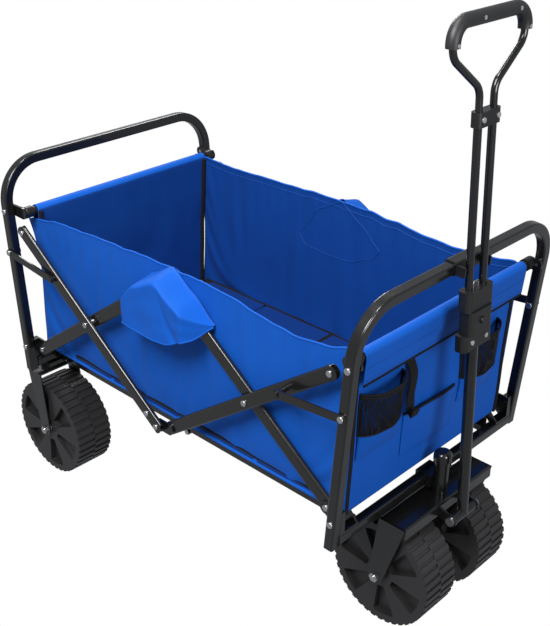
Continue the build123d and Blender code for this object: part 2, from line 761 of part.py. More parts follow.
def wheel_bolt(side, x, inner_plate, outer_plate, wheel_near, wheel_far):
    """Shouldered axle bolt through two fork plates, with a head outside and a nut inside."""
    with BuildPart() as piece:
        add(side_pin(side, x, axle_z, inner_plate[0] - 7.0, outer_plate[1] + 8.0, axle_r))
        add(side_pin(side, x, axle_z, inner_plate[1], wheel_near - gap, 9.0))
        add(side_pin(side, x, axle_z, wheel_far + gap, outer_plate[0], 9.0))
        for near, far in ((inner_plate[0] - 5.0, inner_plate[0]), (outer_plate[1], outer_plate[1] + 6.0)):
            top = max(side * near, side * far)
            with BuildSketch(wall_plane(top)):
                with Locations((x, axle_z)):
                    RegularPolygon(9.0, 6)
            extrude(amount=far - near)
    return piece.part


with BuildPart() as front_bolts:
    for side in sides:
        add(wheel_bolt(side, axle_x, fork_in, fork_out, front_track_inner, front_far))
save(front_bolts.part, "front_axle_bolts")

yoke_layer = (yoke_half + gap, yoke_half + gap + 4.0)
with BuildPart() as yoke_lugs:
    for side in sides:
        arm = [
            (beam_front_x, beam_top_z - 2.0),
            (beam_front_x, beam_low_z + 1.0),
            (handle_pivot_x, handle_pivot_z - 10.5),
            (handle_pivot_x, handle_pivot_z + 10.5),
        ]
        disc = [(handle_pivot_x, handle_pivot_z, 10.5)]
        add(side_plate(side, arm, *yoke_layer, disc, [(handle_pivot_x, handle_pivot_z, axle_r)]))
save(yoke_lugs.part, "yoke_lugs")

with BuildPart() as yoke_bolt:
    add(cross_pin(handle_pivot_x, handle_pivot_z, -yoke_layer[1], yoke_layer[1], axle_r))
    for side in sides:
        add(side_pin(side, handle_pivot_x, handle_pivot_z, yoke_layer[1], yoke_layer[1] + 3.6, 8.0))
save(yoke_bolt.part, "yoke_bolt")

# ---------------------------------------------------------------- rear forks
rear_far = rear_track_inner + wheel_width
rear_in = (rear_track_inner - 6.0, rear_track_inner - 3.0)
rear_out = (rear_far + 6.0, rear_far + 9.0)
crown_z = cross_tube_z - half_tube - 12.0  # a 12 mm packer lifts the crown clear of the wheel
with BuildPart() as rear_forks:
    for side in sides:
        x_back, x_front = rear_foot_x - 20.0, rear_foot_x + 20.0
        add(side_block(side, x_back, x_front, rear_in[0], rear_out[1], crown_z - 3.0, crown_z))
        middle = (rear_in[0] + rear_out[1]) / 2
        x_low, x_high = rear_foot_x - 15.0, rear_foot_x + 15.0
        add(side_block(side, x_low, x_high, middle - 20.0, middle + 20.0, crown_z, crown_z + 12.0))
        edge = [(x_back, crown_z), (x_front, crown_z), (-axle_x + 14.0, axle_z), (-axle_x - 14.0, axle_z)]
        for layer in (rear_in, rear_out):
            hole = [(-axle_x, axle_z, axle_r)]
            add(side_plate(side, edge, *layer, [(-axle_x, axle_z, 14.0)], hole))
save(rear_forks.part, "rear_forks")

with BuildPart() as rear_bolts:
    for side in sides:
        add(wheel_bolt(side, -axle_x, rear_in, rear_out, rear_track_inner, rear_far))
save(rear_bolts.part, "rear_axle_bolts")


# ---------------------------------------------------------------- wheels
def wheel_face(x, y):
    """Sketch plane across a wheel at y, centred on its axle."""
    return Plane(origin=(x, y, axle_z), x_dir=(1, 0, 0), z_dir=(0, -1, 0))


def wheel(side, x, near):
    """One-piece moulded wheel: two staggered rows of lugs, six fan blades on each face."""
    low = min(side * near, side * (near + wheel_width))
    tread_r = wheel_diameter / 2 - lug_height
    recess_far = tread_r - wheel_rim
    with BuildPart() as piece:
        for row in (1, 2):
            with BuildSketch(wheel_face(x, low + row * wheel_width / 2)):
                Circle(tread_r)
                with PolarLocations(tread_r, wheel_lugs, start_angle=row * 180.0 / wheel_lugs):
                    Rectangle(2 * lug_height, lug_width)
                Circle(wheel_diameter / 2, mode=Mode.INTERSECT)
            extrude(amount=wheel_width / 2)
        for face, amount in ((low + wheel_width, wheel_recess), (low, -wheel_recess)):
            with BuildSketch(wheel_face(x, face)) as fans:
                for turn in range(6):
                    spread = radians(15.0)
                    mid = radians(40.0 + 60.0 * turn)
                    corners = []
                    for reach, way in ((20.0, -1), (110.0, -1), (110.0, 1), (20.0, 1)):
                        corners.append((reach * cos(mid + way * spread), reach * sin(mid + way * spread)))
                    Polygon(*corners, align=None)
                Circle(recess_far, mode=Mode.INTERSECT)
                Circle(wheel_hub_r, mode=Mode.SUBTRACT)
                fillet(fans.vertices(), 3.0)
            extrude(amount=amount, mode=Mode.SUBTRACT)
        add(cross_pin(x, axle_z, low - 1.0, low + wheel_width + 1.0, axle_r + fit), mode=Mode.SUBTRACT)
    return piece.part


for side, where in ((1, "left"), (-1, "right")):
    save(wheel(side, axle_x, front_track_inner), "front_wheel_" + where)
    save(wheel(side, -axle_x, rear_track_inner), "rear_wheel_" + where)

# ---------------------------------------------------------------- handle, lower part
guide_top = guide_at + guide_long
with BuildPart() as handle_tube:
    with BuildSketch(handle_plane):
        Circle(lower_tube_r)
        Circle(lower_tube_r - 1.5, mode=Mode.SUBTRACT)
    extrude(amount=guide_top - 6.0)
    add(cross_pin(handle_pivot_x, handle_pivot_z, -yoke_half, yoke_half, 9.0))
    add(cross_pin(handle_pivot_x, handle_pivot_z, -yoke_half, yoke_half, axle_r + fit), mode=Mode.SUBTRACT)
save(handle_tube.part, "handle_tube")

button_z = guide_at + 20.0
button_at = Vector(handle_pivot_x, 0, handle_pivot_z) + handle_plane.z_dir * button_z
button_r = 6.0
button_long = 6.0
button_floor = 10.2          # bottom of the button's well, from the tube axis
button_base = button_floor + button_travel + 0.7
guide_face = 16.0            # front face of the guide ahead of the tube axis
with BuildPart() as handle_guide:
    with BuildSketch(handle_plane.offset(guide_at)):
        with Locations((2.5, 0)):
            RectangleRounded(2 * guide_face - 5.0, 58, 8)
    extrude(amount=guide_block)
    with BuildSketch(handle_plane.offset(guide_at + guide_block)):
        with Locations((1.0, 0)):
            RectangleRounded(24, 68, 9)
    extrude(amount=guide_long - guide_block)
    with BuildSketch(handle_plane.offset(guide_at)):
        with Locations((0, twin_half), (0, -twin_half)):
            Circle(twin_r + fit)
    extrude(amount=guide_long, mode=Mode.SUBTRACT)
    with BuildSketch(handle_plane.offset(guide_at)):
        Circle(lower_tube_r)
    extrude(amount=guide_long - 6.0, mode=Mode.SUBTRACT)
    with BuildSketch(Plane(origin=button_at + handle_plane.x_dir * button_floor, z_dir=handle_plane.x_dir)):
        Circle(button_r + fit)
    extrude(amount=12.0, mode=Mode.SUBTRACT)
save(handle_guide.part, "handle_guide")

with BuildPart() as latch_button:
    with BuildSketch(Plane(origin=button_at + handle_plane.x_dir * button_base, z_dir=handle_plane.x_dir)):
        Circle(button_r)
    extrude(amount=button_long)
    fillet(latch_button.edges().sort_by(Axis.X)[-1], 1.5)
save(latch_button.part, "latch_button")

latch_plane = Plane(origin=handle_plane.origin, x_dir=(0, 1, 0), z_dir=-handle_plane.x_dir)
wire_half = 7.0
wire_top = guide_top + 9.0
wire_r = 1.25
with BuildPart() as latch_spring:
    with BuildLine(latch_plane) as wire:
        FilletPolyline(
            (-wire_half, -guide_top),
            (-wire_half, -wire_top),
            (wire_half, -wire_top),
            (wire_half, -guide_top),
            radius=3.0,
        )
    with BuildSketch(Plane(origin=wire.line @ 0, z_dir=wire.line % 0)):
        Circle(wire_r)
    sweep()
save(latch_spring.part, "latch_spring")

# ---------------------------------------------------------------- handle, sliding part
with BuildPart() as twin_tubes:
    with BuildSketch(handle_plane.offset(collar_at + 3.0)):
        with Locations((0, twin_half), (0, -twin_half)):
            Circle(twin_r)
            Circle(loop_r, mode=Mode.SUBTRACT)
    extrude(amount=clamp_at + clamp_long / 2 - collar_at - 3.0)
save(twin_tubes.part, "twin_tubes")

with BuildPart() as collar:
    with BuildSketch(handle_plane.offset(collar_at)):
        RectangleRounded(23, 76, 10)
    extrude(amount=collar_long)
    with BuildSketch(handle_plane.offset(collar_at)):
        Circle(lower_tube_r + fit)
    extrude(amount=collar_long, mode=Mode.SUBTRACT)
    with BuildSketch(handle_plane.offset(collar_at + 3.0)):
        with Locations((0, twin_half), (0, -twin_half)):
            Circle(twin_r)
    extrude(amount=collar_long, mode=Mode.SUBTRACT)
save(collar.part, "lower_collar")

with BuildPart() as clamp:
    with BuildSketch(handle_plane.offset(clamp_at)):
        RectangleRounded(19, 58, 9)
    extrude(amount=clamp_long)
    with BuildSketch(handle_plane.offset(clamp_at)):
        with Locations((0, twin_half), (0, -twin_half)):
            Circle(twin_r)
    extrude(amount=clamp_long / 2, mode=Mode.SUBTRACT)
    with BuildSketch(handle_plane.offset(clamp_at)):
        with Locations((0, twin_half), (0, -twin_half)):
            Circle(loop_r)
    extrude(amount=clamp_long, mode=Mode.SUBTRACT)
save(clamp.part, "top_clamp")

# The loop runs up out of the twin tubes, spreads to the grip and comes back down.
face_plane = Plane(origin=handle_plane.origin, x_dir=(0, 1, 0), z_dir=handle_plane.x_dir)
loop_low = clamp_at - 20.0
spread_low = 722.0
spread_high = 774.0
grip_low = 788.0
with BuildPart() as loop_tube:
    with BuildLine(face_plane) as loop_path:
        FilletPolyline(
            (-twin_half, loop_low),
            (-twin_half, spread_low),
            (-grip_half, spread_high),
            (-grip_half, grip_at),
            (grip_half, grip_at),
            (grip_half, spread_high),
            (twin_half, spread_low),
            (twin_half, loop_low),
            radius=grip_bend,
        )
    with BuildSketch(Plane(origin=loop_path.line @ 0, z_dir=loop_path.line % 0)):
        Circle(loop_r)
        Circle(loop_r - 1.2, mode=Mode.SUBTRACT)
    sweep()
save(loop_tube.part, "loop_tube")

screw_r = 3.0
screw_high = 1.6
screw_places = [(-29.0, grip_at), (60.0, grip_at), (-grip_half, grip_low + 3.6), (grip_half, grip_low + 3.6)]
with BuildPart() as grip:
    with BuildLine(face_plane) as grip_path:
        FilletPolyline(
            (-grip_half, grip_low),
            (-grip_half, grip_at),
            (grip_half, grip_at),
            (grip_half, grip_low),
            radius=grip_bend,
        )
    with BuildSketch(Plane(origin=grip_path.line @ 0, z_dir=grip_path.line % 0)):
        Circle(grip_r)
        Circle(loop_r, mode=Mode.SUBTRACT)
    sweep()
    with BuildSketch(face_plane.offset(grip_r - screw_high)):
        with Locations(*screw_places):
            Circle(screw_r)
    extrude(amount=6.0, mode=Mode.SUBTRACT)
save(grip.part, "grip")

with BuildPart() as handle_fasteners:
    with BuildSketch(face_plane.offset(grip_r - screw_high)):
        with Locations(*screw_places):
            Circle(screw_r)
    extrude(amount=screw_high)
    for high, face in ((clamp_at + clamp_long / 2, 9.5), (collar_at + collar_long / 2, 11.5)):
        with BuildSketch(face_plane.offset(face)):
            with Locations((twin_half, high), (-twin_half, high)):
                Circle(4.0)
        extrude(amount=1.8)
save(handle_fasteners.part, "handle_fasteners")

# ---------------------------------------------------------------- parking clip
top_x = front_foot_x + hoop_rise * sin(lean)
top_z = cross_tube_z + hoop_rise * cos(lean)
prong_in = 32.0


def clip_plane(y):
    return Plane(origin=(top_x, y, top_z), x_dir=(cos(lean), 0, -sin(lean)), z_dir=(0, -1, 0))


with BuildPart() as parking_clip:
    with BuildSketch(clip_plane(prong_in + 3.0)):
        with Locations((-0.5, 0)):
            RectangleRounded(frame_tube + 4.0, frame_tube + 5.0, 3.5)
        RectangleRounded(frame_tube, frame_tube, tube_corner, mode=Mode.SUBTRACT)
    extrude(amount=2 * prong_in + 6.0)
    for y in (prong_in + 3.0, -prong_in):
        with BuildSketch(clip_plane(y)):
            with Locations((half_tube + 8.7, 0)):
                RectangleRounded(17.0, 17.0, 3.0)
        extrude(amount=3.0)
save(parking_clip.part, "parking_clip")
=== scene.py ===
import bpy, bmesh, math
from mathutils import Vector, Matrix, noise


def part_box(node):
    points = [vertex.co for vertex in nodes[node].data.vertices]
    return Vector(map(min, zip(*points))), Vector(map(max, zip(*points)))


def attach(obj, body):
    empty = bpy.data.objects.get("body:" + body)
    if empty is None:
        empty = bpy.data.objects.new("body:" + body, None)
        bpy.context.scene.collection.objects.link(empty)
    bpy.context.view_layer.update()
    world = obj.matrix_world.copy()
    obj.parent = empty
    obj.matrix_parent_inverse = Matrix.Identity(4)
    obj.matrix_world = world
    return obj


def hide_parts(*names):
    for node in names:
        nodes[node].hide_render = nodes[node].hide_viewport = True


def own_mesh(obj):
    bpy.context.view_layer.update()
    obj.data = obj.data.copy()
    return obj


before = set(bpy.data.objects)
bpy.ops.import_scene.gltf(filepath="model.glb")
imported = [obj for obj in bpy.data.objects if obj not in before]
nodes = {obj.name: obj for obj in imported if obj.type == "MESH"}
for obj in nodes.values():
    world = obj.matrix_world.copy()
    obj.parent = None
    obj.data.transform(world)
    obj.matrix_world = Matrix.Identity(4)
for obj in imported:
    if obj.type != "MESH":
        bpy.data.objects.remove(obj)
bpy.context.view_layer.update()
scene = bpy.context.scene


# ------------------------------------------------------------------ materials
def material(name, colour, rough, metal=0.0, bump=0.0, bump_scale=900.0,
             mottling=0.0, coat=0.0, spec=0.5, sheen=0.0):
    """A moulded or painted finish; mottling varies the roughness and bump adds a fine grain."""
    m = bpy.data.materials.new(name)
    m.use_nodes = True
    t = m.node_tree
    p = t.nodes["Principled BSDF"]
    p.inputs["Base Color"].default_value = (*colour, 1)
    p.inputs["Roughness"].default_value = rough
    p.inputs["Metallic"].default_value = metal
    p.inputs["Specular IOR Level"].default_value = spec
    p.inputs["Coat Weight"].default_value = coat
    p.inputs["Sheen Weight"].default_value = sheen
    co = t.nodes.new("ShaderNodeTexCoord")
    if mottling > 0:
        n = t.nodes.new("ShaderNodeTexNoise")
        n.inputs["Scale"].default_value = 14.0
        n.inputs["Detail"].default_value = 5.0
        r = t.nodes.new("ShaderNodeMapRange")
        r.inputs["From Min"].default_value = 0.3
        r.inputs["From Max"].default_value = 0.7
        r.inputs["To Min"].default_value = rough - mottling
        r.inputs["To Max"].default_value = rough + mottling
        t.links.new(co.outputs["Object"], n.inputs["Vector"])
        t.links.new(n.outputs["Fac"], r.inputs["Value"])
        t.links.new(r.outputs["Result"], p.inputs["Roughness"])
    if bump > 0:
        n = t.nodes.new("ShaderNodeTexNoise")
        n.inputs["Scale"].default_value = bump_scale
        n.inputs["Detail"].default_value = 3.0
        b = t.nodes.new("ShaderNodeBump")
        b.inputs["Strength"].default_value = bump
        b.inputs["Distance"].default_value = 0.0004
        t.links.new(co.outputs["Object"], n.inputs["Vector"])
        t.links.new(n.outputs["Fac"], b.inputs["Height"])
        t.links.new(b.outputs["Normal"], p.inputs["Normal"])
    return m


def cloth_material(name, colour, dark, rough=0.62, weave=1500.0, bump=0.25):
    """Woven polyester: fine crossed weave in the bump, faint broad change of tone."""
    m = material(name, colour, rough, sheen=0.02, spec=0.14)
    t = m.node_tree
    p = t.nodes["Principled BSDF"]
    co = t.nodes.new("ShaderNodeTexCoord")
    waves = []
    for direction in ("X", "Z"):
        w = t.nodes.new("ShaderNodeTexWave")
        w.bands_direction = direction
        w.inputs["Scale"].default_value = weave / 6.283
        w.inputs["Distortion"].default_value = 0.6
        t.links.new(co.outputs["Object"], w.inputs["Vector"])
        waves.append(w)
    add = t.nodes.new("ShaderNodeMath")
    t.links.new(waves[0].outputs["Fac"], add.inputs[0])
    t.links.new(waves[1].outputs["Fac"], add.inputs[1])
    soft = t.nodes.new("ShaderNodeTexNoise")
    soft.inputs["Scale"].default_value = 9.0
    soft.inputs["Detail"].default_value = 3.0
    t.links.new(co.outputs["Object"], soft.inputs["Vector"])
    b = t.nodes.new("ShaderNodeBump")
    b.inputs["Strength"].default_value = bump
    b.inputs["Distance"].default_value = 0.0003
    t.links.new(add.outputs[0], b.inputs["Height"])
    b2 = t.nodes.new("ShaderNodeBump")
    b2.inputs["Strength"].default_value = 0.35
    b2.inputs["Distance"].default_value = 0.004
    t.links.new(soft.outputs["Fac"], b2.inputs["Height"])
    t.links.new(b2.outputs["Normal"], b.inputs["Normal"])
    t.links.new(b.outputs["Normal"], p.inputs["Normal"])
    ramp = t.nodes.new("ShaderNodeMix")
    ramp.data_type = "RGBA"
    ramp.inputs[6].default_value = (*dark, 1)
    ramp.inputs[7].default_value = (*colour, 1)
    t.links.new(soft.outputs["Fac"], ramp.inputs[0])
    t.links.new(ramp.outputs[2], p.inputs["Base Color"])
    return m


paint = material("frame_paint", (0.004, 0.004, 0.004), 0.24, bump=0.07, mottling=0.04, spec=0.5, coat=0.5)
bars = material("bar_paint", (0.008, 0.0075, 0.007), 0.26, bump=0.07, mottling=0.04, spec=0.45, coat=0.4)
satin = material("rod_plastic", (0.007, 0.007, 0.007), 0.38, bump=0.2, mottling=0.05)
rubber = material("grip_rubber", (0.016, 0.016, 0.017), 0.42, bump=0.3, mottling=0.06)
wheel_mat = material("wheel_plastic", (0.021, 0.020, 0.021), 0.40,
                     bump=0.35, bump_scale=500.0, mottling=0.06)
zinc = material("bright_metal", (0.62, 0.62, 0.63), 0.28, metal=1.0, mottling=0.06)
screw_mat = material("pale_screw", (0.5, 0.5, 0.5), 0.35, metal=0.6, mottling=0.05)
blue = cloth_material("blue_cloth", (0.004, 0.096, 0.50), (0.003, 0.080, 0.42))
# Darker blue for the inside faces of the basket cloth: painted shade standing in for the dim inside of the
# basket.
shaded_inner_mat = cloth_material("inner_cloth_painted_shade", (0.003, 0.052, 0.28), (0.002, 0.038, 0.21))
mat_blue = cloth_material("mat_cloth", (0.003, 0.036, 0.20), (0.003, 0.028, 0.16))
binding = cloth_material("binding", (0.010, 0.010, 0.012), (0.007, 0.007, 0.009), rough=0.7)
thread = material("thread", (0.003, 0.070, 0.36), 0.6, mottling=0.05)

netting = material("netting", (0.004, 0.004, 0.005), 0.6, spec=0.2)
net = netting.node_tree
cells = net.nodes.new("ShaderNodeTexVoronoi")
cells.feature = "DISTANCE_TO_EDGE"
cells.inputs["Scale"].default_value = 300.0
cells.inputs["Randomness"].default_value = 0.15
place_node = net.nodes.new("ShaderNodeTexCoord")
net.links.new(place_node.outputs["Object"], cells.inputs["Vector"])
holes = net.nodes.new("ShaderNodeMath")
holes.operation = "GREATER_THAN"
holes.inputs[1].default_value = 0.13
net.links.new(cells.outputs["Distance"], holes.inputs[0])
clear = net.nodes.new("ShaderNodeBsdfTransparent")
weave_mix = net.nodes.new("ShaderNodeMixShader")
net.links.new(holes.outputs[0], weave_mix.inputs[0])
net.links.new(net.nodes["Principled BSDF"].outputs[0], weave_mix.inputs[1])
net.links.new(clear.outputs[0], weave_mix.inputs[2])
net.links.new(weave_mix.outputs[0], net.nodes["Material Output"].inputs["Surface"])

bar_nodes = ("front_inner_bars", "front_outer_bars", "rear_inner_bars", "rear_outer_bars",
             "front_links", "rear_links")
metal_nodes = ("kingpin", "yoke_bolt", "floor_hinge_pins", "latch_spring")
satin_nodes = ("front_hem_rod", "rear_hem_rod", "handle_guide", "lower_collar", "top_clamp",
               "parking_clip", "latch_button")


def finish_for(name):
    """The material of one rigid or soft node."""
    if "wheel" in name:
        return wheel_mat
    if name in bar_nodes:
        return bars
    if name in metal_nodes or "rivets" in name or "axle_bolts" in name:
        return zinc
    if name == "handle_fasteners":
        return screw_mat
    if name == "grip":
        return rubber
    if name in satin_nodes:
        return satin
    if "mat" in name:
        return mat_blue
    if "panel" in name or name in ("side_flaps", "front_pockets"):
        return blue
    return paint


for name, obj in nodes.items():
    obj.data.materials.clear()
    obj.data.materials.append(finish_for(name))


# ------------------------------------------------------------------ builders
def from_bmesh(bm, name, mat, smooth=True):
    bmesh.ops.recalc_face_normals(bm, faces=bm.faces)
    mesh = bpy.data.meshes.new(name)
    bm.to_mesh(mesh)
    bm.free()
    obj = bpy.data.objects.new(name, mesh)
    scene.collection.objects.link(obj)
    mesh.materials.append(mat)
    for f in mesh.polygons:
        f.use_smooth = smooth
    return obj


def grid(name, nx, ny, place, mat, thick=0.0012):
    """A sheet laid out as a grid; place(u, v) gives each point in metres, u and v from 0 to 1."""
    bm = bmesh.new()
    bmesh.ops.create_grid(bm, x_segments=nx, y_segments=ny, size=1.0)
    for v in bm.verts:
        v.co = Vector(place((v.co.x + 1) / 2, (v.co.y + 1) / 2))
    obj = from_bmesh(bm, name, mat)
    obj["thick"] = thick
    return obj


def pins(obj, keep):
    group = obj.vertex_groups.new(name="pin")
    for v in obj.data.vertices:
        w = keep(v.co)
        if w > 0:
            group.add([v.index], w, "REPLACE")


def drape(objs, frames=26, mass=0.25, tension=18.0, bending=2.0, shrink=0.0):
    """Lets the pinned sheets hang, then keeps the shape that they settle into."""
    for obj in objs:
        c = obj.modifiers.new("cloth", "CLOTH").settings
        c.quality = 7
        c.mass = mass
        c.tension_stiffness = tension
        c.compression_stiffness = tension
        c.shear_stiffness = 4.0
        c.bending_stiffness = bending
        c.tension_damping = 12.0
        c.compression_damping = 12.0
        c.shear_damping = 12.0
        c.air_damping = 4.0
        c.shrink_min = shrink
        c.vertex_group_mass = "pin"
    for f in range(1, frames + 1):
        scene.frame_set(f)
    dg = bpy.context.evaluated_depsgraph_get()
    for obj in objs:
        mesh = bpy.data.meshes.new_from_object(obj.evaluated_get(dg))
        obj.modifiers.clear()
        obj.data = mesh
    scene.frame_set(1)


def face_out(obj, outward):
    """Turns the sheet so that its normals follow outward, for a different colour on each face."""
    mean = sum((f.normal * f.area for f in obj.data.polygons), Vector())
    if mean.dot(Vector(outward)) < 0:
        obj.data.flip_normals()


def thicken(obj, smooth=1, inner_face_mat=None):
    if smooth:
        s = obj.modifiers.new("smooth", "SUBSURF")
        s.levels = smooth
        s.render_levels = smooth
    d = obj.modifiers.new("solid", "SOLIDIFY")
    d.thickness = obj["thick"]
    d.offset = 0.0
    # The back shell takes the darker inner material given here, which is painted shade for the inside of the
    # basket.
    if inner_face_mat:
        obj.data.materials.append(inner_face_mat)
        d.material_offset = 1


def tube(name, points, radius, mat, closed=False):
    c = bpy.data.curves.new(name, "CURVE")
    c.dimensions = "3D"
    c.bevel_depth = radius
    c.bevel_resolution = 3
    c.use_fill_caps = True
    s = c.splines.new("POLY")
    s.points.add(len(points) - 1)
    for q, p in zip(s.points, points):
        q.co = (*p, 1)
    s.use_cyclic_u = closed
    line = bpy.data.objects.new(name + "_line", c)
    scene.collection.objects.link(line)
    mesh = bpy.data.meshes.new_from_object(line.evaluated_get(bpy.context.evaluated_depsgraph_get()))
    bpy.data.objects.remove(line)
    mesh.materials.clear()
    mesh.materials.append(mat)
    obj = bpy.data.objects.new(name, mesh)
    scene.collection.objects.link(obj)
    for f in mesh.polygons:
        f.use_smooth = True
    return obj


def curve_at(keys, x):
    """Smooth interpolation through (x, value) keys."""
    if x <= keys[0][0]:
        return keys[0][1]
    for (x0, a), (x1, b) in zip(keys, keys[1:]):
        if x <= x1:
            s = (x - x0) / (x1 - x0)
            s = s * s * (3 - 2 * s)
            return a + (b - a) * s
    return keys[-1][1]


def lerp(a, b, s):
    return a + (b - a) * s


# ------------------------------------------------------------------ basket sides
cloth_thick = 0.0012
hem_r = 0.0018
seam_r = 0.0005
hem_drop = 0.013             # hem edge to its row of stitching


def follow_fold(obj):
    """Carries a side piece on the front frame."""
    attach(obj, "front_frame")
    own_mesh(obj)


front_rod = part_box("front_hem_rod")
rear_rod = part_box("rear_hem_rod")
rod_front_x = (front_rod[0].x + front_rod[1].x) / 2
rod_rear_x = (rear_rod[0].x + rear_rod[1].x) / 2
rod_z = (front_rod[0].z + front_rod[1].z) / 2
mat_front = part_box("floor_mat_front")
mat_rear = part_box("floor_mat_rear")
mid_x = (mat_front[0].x + mat_rear[1].x) / 2
low_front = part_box("front_panel")[0].x + 0.004
low_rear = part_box("rear_panel")[0].x + 0.006
side_low = mat_front[0].z + 0.002
wall_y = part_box("side_panel_left")[0].y + 0.001

# Height of each side wall's top edge at places along X.
top_keys = {
    -1: [(-0.42, 0.549), (-0.395, 0.555), (-0.30, 0.567), (-0.17, 0.573), (-0.06, 0.577),
         (0.05, 0.577), (0.13, 0.573), (0.20, 0.562), (0.27, 0.556), (0.33, 0.563), (0.385, 0.577)],
    1: [(-0.395, 0.574), (-0.30, 0.570), (-0.17, 0.574), (-0.06, 0.578), (0.05, 0.578),
        (0.13, 0.573), (0.20, 0.566), (0.27, 0.564), (0.33, 0.568), (0.385, 0.577)],
}


def wall_point(side, u, v, out=0.0):
    x_low = lerp(low_rear, low_front, u)
    x_high = lerp(rod_rear_x + 0.004, rod_front_x - 0.004, u)
    x = lerp(x_low, x_high, v)
    x += (1 - u) ** 8 * (0.005 * math.sin(math.pi * v) - 0.027 * v ** 5)
    ripple = 0.0022 * noise.noise(Vector((x * 34.0, 2.0, side * 5.0))) * v ** 6
    z = lerp(side_low, curve_at(top_keys[side], x), v) + ripple
    broad = noise.noise(Vector((x * 5.2, z * 6.5, side * 3.1)))
    wave = broad + 0.5 * noise.noise(Vector((x * 13.0, z * 9.0, 7.0 + side)))
    dent = -0.010 * math.sin(math.pi * v) * (0.6 + wave)
    edge = min(1.0, 8 * u, 8 * (1 - u))
    y = wall_y + min(0.0013, dent * edge) + out
    return Vector((x, side * y, z))


def pin_weight(side, co):
    """1 where a side wall is sewn to the floor, the end walls or its hem cord, else 0."""
    sewn_low = co.z < side_low + 0.004
    sewn_ends = co.x < low_rear + 0.012 or co.x > low_front - 0.004
    hemmed = co.z > curve_at(top_keys[side], co.x) - 0.007
    return 1.0 if sewn_low or sewn_ends or hemmed else 0.0


walls = []
for side, word in ((1, "left"), (-1, "right")):
    wall = grid("side_wall_" + word, 150, 54, lambda u, v: wall_point(side, u, v), blue, cloth_thick)
    pins(wall, lambda co: pin_weight(side, co))
    face_out(wall, (0, side, 0))
    walls.append((side, wall))
drape([w for _, w in walls], bending=7.0, shrink=-0.004)
for side, wall in walls:
    for v in wall.data.vertices:
        v.co.y = side * min(max(side * v.co.y, 0.190), wall_y + 0.0014)
    # The inner faces of the side walls get the darker painted shade.
    thicken(wall, inner_face_mat=shaded_inner_mat)
    follow_fold(wall)
    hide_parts("side_panel_left" if side > 0 else "side_panel_right")

# Narrow folded hem and its row of stitching along each side wall's top edge.
def edge_line(side, y_out, drop, start=0.012, stop=0.988, count=150):
    shift = Vector((0, side * y_out, -drop))
    return [wall_point(side, lerp(start, stop, i / count), 1.0) + shift for i in range(count + 1)]


for side, word in ((1, "left"), (-1, "right")):
    hem = tube("side_hem_" + word, edge_line(side, -0.0004, 0.0005), hem_r, blue)
    seam = tube("side_seam_" + word, edge_line(side, -0.0012, hem_drop), seam_r, thread)
    for o in (hem, seam):
        follow_fold(o)


# ------------------------------------------------------------------ flaps over the middle hubs
flap_low, flap_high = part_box("side_flaps")
flap_wide = 0.88 * (flap_high.x - flap_low.x)
flap_tall = flap_high.z - flap_low.z
flap_depth = flap_high.y + 0.0015 - wall_y
flap_top = [(0.0, 0.24), (0.26, 0.82), (0.52, 1.06), (0.76, 0.78), (1.0, 0.42)]
flap_bottom = [(0.0, 0.24), (0.10, 0.05), (0.38, 0.02), (0.63, 0.04), (0.88, 0.22), (1.0, 0.42)]


def straight(keys, x):
    for (x0, a), (x1, b) in zip(keys, keys[1:]):
        if x <= x1:
            return lerp(a, b, (x - x0) / (x1 - x0))
    return keys[-1][1]


def flap_point(side, u, v, lift=0.0):
    high = lerp(straight(flap_top, u), curve_at(flap_top, u), 0.4)
    low = lerp(straight(flap_bottom, u), curve_at(flap_bottom, u), 0.5)
    x = flap_low.x + flap_wide * u
    z = flap_low.z + flap_tall * lerp(low, high, v)
    rise = min(1.0, (1 - v) / 0.13)
    rise = rise * rise * (3 - 2 * rise)
    ends = min(1.0, 9 * u, 6 * (1 - u))
    fold = math.exp(-((u - 0.53 - 0.24 * (1 - v)) / 0.035) ** 2) * rise
    soft = noise.noise(Vector((u * 5.0, v * 3.0, side * 2.0)))
    y = wall_y + 0.0022 + flap_depth * rise * ends * (1.0 + 0.05 * soft) - 0.006 * fold * (1 - v) + lift
    return Vector((x, side * y, z))


for side, word in ((1, "left"), (-1, "right")):
    flap = grid("hub_flap_" + word, 72, 36,
                lambda u, v: flap_point(side, lerp(0.012, 0.988, u), v), blue, cloth_thick)
    face_out(flap, (0, side, 0))
    # The back face of each flap gets the darker painted shade.
    thicken(flap, inner_face_mat=shaded_inner_mat)
    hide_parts("side_flaps")
    trims = [flap]
    steps = [lerp(0.012, 0.988, i / 60) for i in range(61)]
    trims.append(tube("flap_hem_" + word, [flap_point(side, u, 0.0) for u in steps], 0.0015, blue))
    top_seam = [flap_point(side, u, 0.985, 0.001) for u in steps]
    trims.append(tube("flap_seam_" + word, top_seam, 0.0009, thread))
    for k, v in enumerate((1.0, 0.0)):
        trims.append(tube("patch_seam_%s_%d" % (word, k), [
            Vector((p.x, side * (wall_y - 0.0035), p.z - 0.004))
            for p in (flap_point(side, u, v) for u in steps)], 0.0004, thread))
    for o in trims:
        follow_fold(o)


# ------------------------------------------------------------------ end walls
end_half = wall_y - 0.001
hem_share = 0.78             # share of an end sheet below its rod


